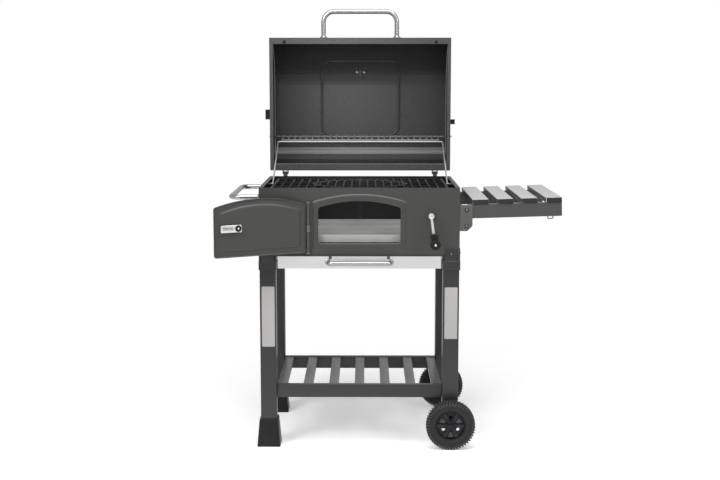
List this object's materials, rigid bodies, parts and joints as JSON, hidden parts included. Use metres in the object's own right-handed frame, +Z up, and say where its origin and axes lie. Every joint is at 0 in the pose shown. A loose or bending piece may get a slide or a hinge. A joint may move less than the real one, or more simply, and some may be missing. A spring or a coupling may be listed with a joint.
{
  "type": "charcoal trolley barbecue",
  "caption": "Charcoal trolley barbecue with hinged lid, swing-away warming rack, fire door, crank-lifted tray, ash drawer, fold-down side shelf, lower shelf and two wheels.",
  "frame": {"origin": "middle of the whole object's outline at rest, on the ground", "axes": "+X to the user's right, the side shelf end; +Y towards the back; +Z up"},
  "size_m": [1.0578, 0.8556, 1.3846],
  "materials": {
    "paint": "satin dark grey powder coat with a faint green cast",
    "leg_paint": "satin darker grey powder coat",
    "cast_iron": "black enamelled casting",
    "chrome": "bright plated wire and tube",
    "zinc": "bright brushed sheet and rod",
    "silver_paint": "light silver-grey paint",
    "plastic": "black moulded plastic with a fine grain",
    "rubber": "black rubber tread"
  },
  "bodies": {
    "cart": {"firebox_front_panel": "paint", "firebox_back_panel": "paint", "firebox_left_panel": "paint", "firebox_right_panel": "paint", "firebox_floor": "paint", "front_left_leg": "leg_paint", "front_right_leg": "leg_paint", "rear_left_leg": "leg_paint", "rear_right_leg": "leg_paint", "front_foot": "plastic", "rear_foot": "plastic", "axle": "zinc", "lower_shelf_front_rail": "paint", "lower_shelf_rear_rail": "paint", "push_handle": "chrome", "left_drawer_runner": "zinc", "right_drawer_runner": "zinc", "left_lid_hinge_base": "leg_paint", "right_lid_hinge_base": "leg_paint", "door_hinge_pin": "leg_paint", "crank_bush": "zinc", "front_side_shelf_bracket": "leg_paint", "rear_side_shelf_bracket": "leg_paint", "lower_shelf_slat_1": "paint", "lower_shelf_slat_2": "paint", "lower_shelf_slat_3": "paint", "lower_shelf_slat_4": "paint", "lower_shelf_slat_5": "paint", "lower_shelf_slat_6": "paint", "lower_shelf_slat_7": "paint"},
    "lid": {"lid_panel": "paint", "lid_left_side": "paint", "lid_right_side": "paint", "lid_handle": "chrome", "thermometer": "zinc", "left_lid_hinge_leaf": "leg_paint", "right_lid_hinge_leaf": "leg_paint"},
    "left_vent": {"left_lid_vent": "plastic"},
    "right_vent": {"right_lid_vent": "plastic"},
    "rack_legs": {"rack_legs": "chrome"},
    "warming_rack": {"warming_rack": "chrome"},
    "fire_door": {"fire_door": "paint"},
    "door_latch": {"door_latch": "plastic"},
    "crank": {"crank": "zinc"},
    "tray_lift": {"charcoal_tray": "zinc", "lift_frame": "zinc"},
    "ash_drawer": {"ash_drawer": "zinc", "drawer_handle": "chrome"},
    "grates": {"left_grate": "cast_iron", "right_grate": "cast_iron"},
    "grate_insert": {"round_grate_insert": "cast_iron"},
    "front_wheel": {"front_tyre": "rubber", "front_rim": "plastic"},
    "rear_wheel": {"rear_tyre": "rubber", "rear_rim": "plastic"},
    "side_shelf": {"side_shelf_frame": "paint", "side_shelf_slat_1": "silver_paint", "side_shelf_slat_2": "silver_paint", "side_shelf_slat_3": "silver_paint", "side_shelf_slat_4": "silver_paint"}
  },
  "joints": [
    {"name": "lid_hinge", "type": "hinge", "parent": "cart", "child": "lid", "pos_m": [-0.09578, 0.18966, 0.8285], "axis": [1, 0, 0], "range_deg": [0, 90]},
    {"name": "rack_leg_hinge", "type": "hinge", "parent": "cart", "child": "rack_legs", "pos_m": [-0.09578, 0.08166, 0.8], "axis": [1, 0, 0], "range_deg": [0, 82.5]},
    {"name": "rack_hinge", "type": "hinge", "parent": "rack_legs", "child": "warming_rack", "pos_m": [-0.09578, 0.27516, 0.931], "axis": [1, 0, 0], "range_deg": [-90.8, 0]},
    {"name": "left_vent_turn", "type": "hinge", "parent": "lid", "child": "left_vent", "pos_m": [-0.40478, 0.29516, 1.026], "axis": [1, 0, 0], "range_deg": [-60, 60]},
    {"name": "right_vent_turn", "type": "hinge", "parent": "lid", "child": "right_vent", "pos_m": [0.21322, 0.29516, 1.026], "axis": [1, 0, 0], "range_deg": [-60, 60]},
    {"name": "fire_door_hinge", "type": "hinge", "parent": "cart", "child": "fire_door", "pos_m": [-0.25378, -0.28584, 0.706], "axis": [0, 0, 1], "range_deg": [-12, 153]},
    {"name": "latch_turn", "type": "hinge", "parent": "fire_door", "child": "door_latch", "pos_m": [-0.46139, -0.39162, 0.706], "axis": [-0.454, 0.891, 0], "range_deg": [0, 90]},
    {"name": "crank_turn", "type": "hinge", "parent": "cart", "child": "crank", "pos_m": [0.12422, -0.27984, 0.734], "axis": [0, 1, 0], "range_deg": [0, 360]},
    {"name": "tray_lift", "type": "slide", "parent": "cart", "child": "tray_lift", "axis": [0, 0, 1], "range_m": [0, 0.05655]},
    {"name": "drawer_slide", "type": "slide", "parent": "cart", "child": "ash_drawer", "axis": [0, -1, 0], "range_m": [0, 0.34]},
    {"name": "grates_lift", "type": "slide", "parent": "cart", "child": "grates", "axis": [0, 0, -1], "range_m": [-0.15, 0]},
    {"name": "insert_lift", "type": "slide", "parent": "grates", "child": "grate_insert", "axis": [0, 0, -1], "range_m": [-0.15, 0]},
    {"name": "front_wheel_spin", "type": "hinge", "parent": "cart", "child": "front_wheel", "pos_m": [0.18922, -0.30884, 0.077], "axis": [0, 1, 0], "continuous": true},
    {"name": "rear_wheel_spin", "type": "hinge", "parent": "cart", "child": "rear_wheel", "pos_m": [0.18922, 0.20916, 0.077], "axis": [0, 1, 0], "continuous": true},
    {"name": "side_shelf_fold", "type": "hinge", "parent": "cart", "child": "side_shelf", "pos_m": [0.24522, -0.05484, 0.75], "axis": [0, 1, 0], "range_deg": [0, 90]}
  ],
  "couplings": [
    {"joint": "rack_leg_hinge", "follows": "lid_hinge", "ratio": 0.91667},
    {"joint": "rack_hinge", "follows": "lid_hinge", "ratio": -1.0089},
    {"joint": "tray_lift", "follows": "crank_turn", "m_per_rad": 0.009}
  ]
}
